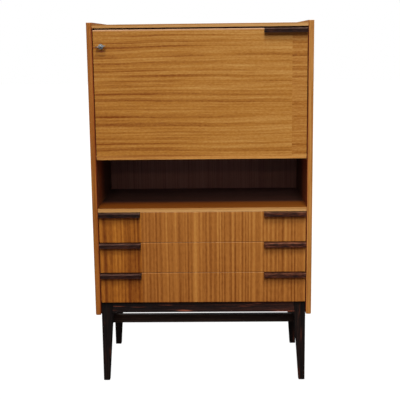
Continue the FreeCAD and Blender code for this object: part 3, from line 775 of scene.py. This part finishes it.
def dress_case():
    """The side panels, boards, dividers and back panel."""
    for side, inward in zip(SIDES, (1, -1)):
        # Painted light and shade on the inner faces, in the desk as well as the niche.
        zones = [
            (inner_face(inward, *WHOLE_DEPTH), *INNER_GLOW_TONES),
            (inner_face(inward, *FAR_DEPTH), *DEEP_SHADE_TONES),
            (inner_corner, *CORNER_SHADE_TONES),
        ]
        if side == "left":
            zones.insert(0, (inner_half, *INNER_HALF_TONES))
        shift = (SIDE_STEPS[0] * inward, SIDE_STEPS[1], SIDE_STEPS[2])
        veneer = wood(f"{side}_side_veneer", "Z", SIDE_LOOKS[side], shift=shift, zones=zones)
        dress(veneer, f"{side}_side_panel")
    dress(wood("top_veneer", "X", TOP_LOOK, zones=TOP_ZONES), "top_panel")
    dress(wood("shelf_veneer", "X", SHELF_LOOK, zones=SHELF_ZONES), "niche_shelf")
    boards = wood("inside_boards", "X", DESK_LOOK)
    dress(boards, "desk_floor", "pigeonhole_shelf", "bottom_panel")
    dividers = wood("divider_veneer", "Z", DESK_LOOK, shift=DIVIDER_SHIFT)
    dress(dividers, "left_pigeonhole_divider", "right_pigeonhole_divider")
    # The back panel's niche part carries painted shade.
    back = wood(
        "back_veneer", "Z", NICHE_SHADE_LOOK, zones=[(above_desk, *DESK_TONES)],
        finish=hardboard(*HARDBOARD_TONES),
    )
    dress(back, "back_panel")


def dress_stand():
    """The legs, rails and stretcher."""
    legs = [f"{end}_{side}_leg" for end in ("front", "rear") for side in SIDES]
    dress(wood("leg_wenge", "Z", WENGE_LOOK), *legs)
    dress(wood("rail_wenge", "X", RAIL_LOOK, shift=RAIL_SHIFT), "front_rail")
    stretcher = wood("stretcher_wenge", "X", STRETCHER_LOOK, shift=STRETCHER_SHIFT)
    dress(stretcher, "cross_stretcher")
    dress(wood("side_rail_wenge", "Y", WENGE_LOOK), "left_side_rail", "right_side_rail")


# Metal

def metal(name, bright, dull, roughness):
    """A plated metal with fine scratches, dull patches and brighter edges."""
    material, g = new_material(name)
    patch = g.grit(PATCH_RATES, detail=3.0)
    scratch = g.grit(SCRATCH_RATES, detail=2.0)
    shade = g.total(g.swing(patch, PATCH), g.swing(scratch, SCRATCH), MIDDLE)
    colour = g.ramp(shade, METAL_STOPS, (dull, bright))
    colour = g.mix(g.times(g.edges(METAL_EDGE_RADIUS), METAL_EDGE), colour, bright)
    rough = g.total(
        g.swing(patch, PATCH_ROUGHNESS), g.swing(scratch, SCRATCH_ROUGHNESS), roughness,
    )
    g.surface(colour, rough, scratch, SCRATCH_DEPTH, {"Metallic": 1.0})
    return material


def dress_metals():
    """Dress the fittings and drive the screws that are of the same metals."""
    nickel = metal("aged_nickel", tone(210, 214, 215), tone(116, 121, 122), roughness=0.32)
    dress(nickel, "lock_escutcheon", "key", "left_stay_arm", "right_stay_arm")
    dress(nickel, "left_stay_bracket", "right_stay_bracket", "stay_pins")
    steel = metal("zinc_steel", tone(178, 180, 182), tone(110, 112, 116), roughness=0.42)
    dress(steel, "lock_case", "lock_bolt", "leg_bolts")
    brass = metal("dull_brass", tone(206, 170, 96), tone(128, 96, 46), roughness=0.38)
    dress(brass, "strike_plate")
    bronze = metal("dark_bronze", tone(110, 78, 44), tone(58, 38, 22), roughness=0.45)
    dress(bronze, "flap_pivot_pins", "flap_pivot_bushes")
    drive_screws(nickel, steel, brass)


# Screws

def half_disc(sign, reach, chord):
    """The outline of a disc on one side of a chord, as points about its centre."""
    start = math.asin(chord / reach)
    span = math.pi - 2 * start
    angles = [start + span * step / ARC_STEPS for step in range(ARC_STEPS + 1)]
    return [(sign * reach * math.cos(angle), sign * reach * math.sin(angle)) for angle in angles]


def disc(reach):
    """The outline of a whole disc, as points about its centre."""
    angles = [math.pi * step / ARC_STEPS for step in range(2 * ARC_STEPS)]
    return [(reach * math.cos(angle), reach * math.sin(angle)) for angle in angles]


def stack(shape, to_point, layers):
    """Join outlines at rising heights into one closed skin."""
    loops = [
        [shape.verts.new(to_point(u, v, height)) for u, v in outline] for outline, height in layers
    ]
    for lower, upper in zip(loops, loops[1:]):
        for index, corner in enumerate(lower):
            after = (index + 1) % len(lower)
            shape.faces.new((corner, lower[after], upper[after], upper[index]))
    shape.faces.new(loops[0][::-1])
    shape.faces.new(loops[-1])


def screw_head(shape, spot, out, turn, radius):
    """Add a slotted head: the slot's floor and a chamfered half on either side of it."""
    level = out.cross(UP)
    along = level * math.cos(turn) + UP * math.sin(turn)
    across = out.cross(along)

    def to_point(u, v, height):
        return spot + along * u + across * v + out * height

    slot = radius * SLOT_SHARE
    rise = radius * RISE_SHARE
    floor = disc(radius * FLOOR_SHARE)
    stack(shape, to_point, [(floor, -rise), (floor, rise * FLOOR_LEVEL)])
    for sign in (1, -1):
        foot = half_disc(sign, radius, slot)
        crown = half_disc(sign, radius * CROWN_SHARE, slot * CROWN_SLOT_SHARE)
        stack(shape, to_point, [(foot, -rise), (foot, rise * CHAMFER_LEVEL), (crown, rise)])


def add_screws(name, body, material, out, radius, spots):
    """One piece with a screw head at each spot, its slots turned this way and that."""
    shape = bmesh.new()
    for number, spot in enumerate(spots):
        screw_head(shape, Vector(spot), Vector(out), FIRST_TURN + TURN_STEP * number, radius)
    bmesh.ops.recalc_face_normals(shape, faces=shape.faces)
    mesh = bpy.data.meshes.new(name)
    shape.to_mesh(mesh)
    shape.free()
    mesh.materials.append(material)
    screws = link(name, mesh)
    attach(screws, body)


def evenly(start, end, count):
    """Places from start to end at equal steps."""
    return [start + (end - start) * step / (count - 1) for step in range(count)]


def drive_screws(nickel, steel, brass):
    """Screws through the back panel, lock case, strike plate and stay brackets."""
    low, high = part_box("back_panel")
    rows = evenly(low.z + BACK_END, high.z - BACK_END, BACK_ROWS)
    spots = [(x, high.y, z) for x in (low.x + BACK_RIM, high.x - BACK_RIM) for z in rows]
    for board in ("bottom_panel", "niche_shelf", "desk_floor", "top_panel"):
        board_low, board_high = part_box(board)
        middle = (board_low.z + board_high.z) / 2
        spots += [(x, high.y, middle) for x in evenly(-BOARD_REACH, BOARD_REACH, BOARD_COUNT)]
    add_screws("back_panel_screws", "cabinet", steel, (0, 1, 0), BACK_RADIUS, spots)

    low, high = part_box("lock_case")
    columns = (low.x + CASE_INSET, high.x - CASE_INSET)
    rows = (low.z + CASE_INSET, high.z - CASE_INSET)
    spots = [(x, high.y, z) for x in columns for z in rows]
    add_screws("lock_case_screws", "flap", steel, (0, 1, 0), LOCK_RADIUS, spots)

    low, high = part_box("strike_plate")
    middle = (low.y + high.y) / 2
    spots = [(high.x, middle, z) for z in (low.z + STRIKE_INSET, high.z - STRIKE_INSET)]
    add_screws("strike_plate_screws", "cabinet", brass, (1, 0, 0), LOCK_RADIUS, spots)

    low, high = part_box("right_stay_bracket")
    middle = (low.z + high.z) / 2
    face = low.y + BRACKET_THICK
    columns = (-(low.x + BRACKET_INSET), low.x + BRACKET_INSET)
    rows = (middle - BRACKET_LIFT, middle + BRACKET_LIFT)
    spots = [(x, face, z) for x in columns for z in rows]
    add_screws("stay_bracket_screws", "flap", nickel, (0, 1, 0), BRACKET_RADIUS, spots)


# Stage: camera, floor and light

# Each light's name, azimuth, elevation, strength, softness and colour, angles in degrees
LIGHTS = [
    ("key_light", 2, 55, 2.0, 20, WHITE),
    ("front_light", 0, 32, 1.76, 20, WHITE),
    ("low_light", 0, 14.8, 0.08, 0.8, tone(255, 200, 161)),
    ("left_rear_fill", -125, 35, 1.8, 30, WHITE),
    ("right_rear_fill", 125, 35, 1.8, 30, WHITE),
]
FLOOR_TONES = (tone(80, 80, 79), tone(92, 92, 91))
CEILING_TONES = (tone(60, 58, 56), tone(240, 246, 252))
ROOM_TONE = tone(255, 222, 228)


def heading(tilt, yaw):
    """The direction that is turned by yaw from straight back and tilted downwards, in radians."""
    flat = math.cos(tilt)
    return Vector((flat * math.sin(yaw), flat * math.cos(yaw), -math.sin(tilt)))


def place_camera():
    """The photograph's camera."""
    tilt, roll, yaw = map(math.radians, (CAMERA_TILT, CAMERA_ROLL, CAMERA_YAW))
    forward = heading(tilt, yaw)
    level = Vector((math.cos(yaw), -math.sin(yaw), 0))
    upright = level.cross(forward)
    right = level * math.cos(roll) - upright * math.sin(roll)
    up = level * math.sin(roll) + upright * math.cos(roll)
    data = bpy.data.cameras.new("photo_camera")
    data.sensor_width = SENSOR_WIDTH
    data.lens = FOCAL_SHARE * SENSOR_WIDTH
    camera = link("photo_camera", data)
    turn = Matrix((right, up, -forward)).transposed()
    camera.matrix_world = Matrix.Translation(CAMERA_PLACE) @ turn.to_4x4()
    bpy.context.scene.camera = camera


def lay_floor():
    """A plain pale floor that lights nothing and takes no part in reflections."""
    shape = bmesh.new()
    bmesh.ops.create_grid(
        shape, x_segments=FLOOR_SEGMENTS, y_segments=FLOOR_SEGMENTS, size=FLOOR_SPAN / 2,
    )
    mesh = bpy.data.meshes.new("floor")
    shape.to_mesh(mesh)
    shape.free()
    floor = link("floor", mesh)
    material, g = new_material("pale_floor")
    grain = g.grit(FLOOR_RATES, detail=3.0)
    colour = g.ramp(grain, (0.0, 1.0), FLOOR_TONES)
    constants = {
        "Emission Color": WHITE, "Emission Strength": FLOOR_GLOW, "Specular IOR Level": 0.0,
    }
    g.surface(colour, FLOOR_ROUGHNESS, grain, FLOOR_BUMP, constants)
    mesh.materials.append(material)
    floor.visible_diffuse = False
    floor.visible_glossy = False
    floor.visible_shadow = False


def shine(name, azimuth, elevation, strength, softness, colour):
    """A soft light from far off. Azimuth 0 stands in front of the object, 90 on its right."""
    data = bpy.data.lights.new(name, "SUN")
    data.energy = strength
    data.color = colour[:3]
    data.angle = math.radians(softness)
    lamp = link(name, data)
    towards = -heading(math.radians(elevation), -math.radians(azimuth))
    lamp.rotation_mode = "QUATERNION"
    lamp.rotation_quaternion = towards.to_track_quat("Z", "Y")


def light_world():
    """A dim warm room with a bright ceiling for metal to mirror, plain white behind the object."""
    world = bpy.data.worlds.new("studio")
    world.use_nodes = True
    bpy.context.scene.world = world
    g = Graph(world.node_tree)
    rays = g.add("ShaderNodeLightPath").outputs
    height = g.band(g.split(g.coordinates("Generated"))[AXES["Z"]], *CEILING_FADE)
    ceiling = g.background(g.ramp(height, (0.0, 1.0), CEILING_TONES), 1.0)
    room = g.background(ROOM_TONE, ROOM_STRENGTH)
    mirrored = g.blend(rays["Is Glossy Ray"], room, ceiling)
    seen = g.blend(rays["Is Camera Ray"], mirrored, g.background(WHITE, 1.0))
    output = g.add("ShaderNodeOutputWorld")
    g.feed(output.inputs["Surface"], seen)


def set_stage():
    """The camera, floor, lights and world."""
    place_camera()
    lay_floor()
    for light in LIGHTS:
        shine(*light)
    light_world()
    bpy.context.scene.view_settings.view_transform = "Standard"


dress_flap()
dress_drawers()
dress_case()
dress_stand()
dress_metals()
set_stage()
